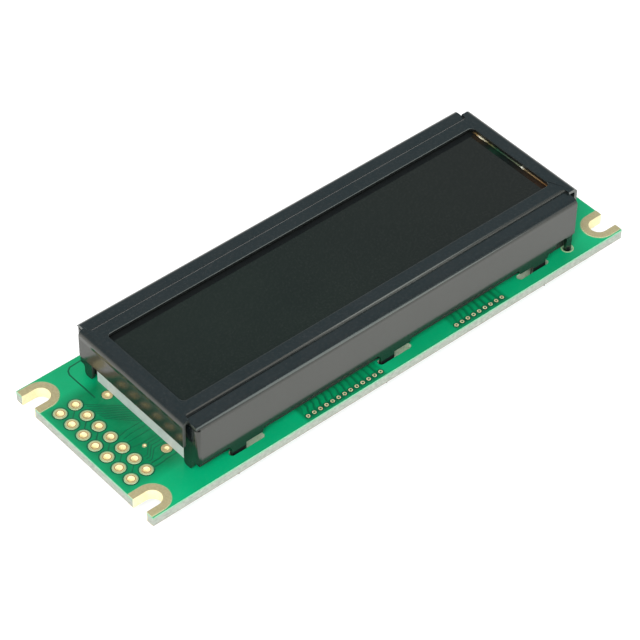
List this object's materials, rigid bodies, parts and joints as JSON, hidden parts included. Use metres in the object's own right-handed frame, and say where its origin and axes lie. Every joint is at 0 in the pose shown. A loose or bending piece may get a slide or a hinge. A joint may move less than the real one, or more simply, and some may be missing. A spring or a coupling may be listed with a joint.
{
  "type": "character lcd module",
  "caption": "Character display in a folded black sheet-metal bezel with twisted tabs, over a backlight on a green circuit board with notched corners and an end header.",
  "frame": {"origin": "under the middle of the circuit board, on the surface that the module lies on", "axes": "+X along the board away from the header, +Z the viewing side"},
  "size_m": [0.085, 0.0296, 0.0126],
  "materials": {
    "solder_mask_board": "glossy green solder mask over glass-fibre board",
    "gold_plate": "thin gold plating",
    "tinned_pad": "satin plated copper",
    "bezel_enamel": "glossy black enamel on sheet steel",
    "polarizer_film": "smooth dark film",
    "display_glass": "clear polished",
    "seal_resin": "cured resin",
    "liquid_crystal_layer": "thin yellow-green layer",
    "conductive_elastomer": "silicone rubber strip",
    "white_plastic": "white moulded plastic",
    "diffuser_plastic": "milky sheet",
    "lamp_resin": "clear yellow-green resin",
    "tinned_pin": "tinned wire",
    "solder": "bright solder",
    "silicon": "bare silicon",
    "black_potting": "cured black epoxy",
    "resistor_body": "ceramic with tinned end caps",
    "capacitor_body": "ceramic with tinned end caps"
  },
  "bodies": {
    "root": {"circuit_board": "solder_mask_board", "header_pads": "gold_plate", "via_row_long": "gold_plate", "via_row_short": "gold_plate", "backlight_pads": "gold_plate", "notch_pad_1": "tinned_pad", "notch_pad_2": "tinned_pad", "notch_pad_3": "tinned_pad", "notch_pad_4": "tinned_pad", "bezel": "bezel_enamel", "front_polarizer": "polarizer_film", "front_glass": "display_glass", "cell_seal": "seal_resin", "liquid_crystal": "liquid_crystal_layer", "rear_glass": "display_glass", "rear_polarizer": "polarizer_film", "connector_strip_front": "conductive_elastomer", "connector_strip_rear": "conductive_elastomer", "backlight_housing": "white_plastic", "diffuser": "diffuser_plastic", "lamp_board": "white_plastic", "lamps": "lamp_resin", "backlight_pin_1": "tinned_pin", "backlight_pin_2": "tinned_pin", "solder_joint_1": "solder", "solder_joint_2": "solder", "controller_chip": "silicon", "driver_chip": "silicon", "controller_potting": "black_potting", "driver_potting": "black_potting", "oscillator_resistor": "resistor_body", "backlight_resistor_1": "resistor_body", "backlight_resistor_2": "resistor_body", "ladder_resistor_1": "resistor_body", "ladder_resistor_2": "resistor_body", "ladder_resistor_3": "resistor_body", "ladder_resistor_4": "resistor_body", "ladder_resistor_5": "resistor_body", "capacitor_1": "capacitor_body", "capacitor_2": "capacitor_body", "capacitor_3": "capacitor_body"}
  },
  "joints": []
}
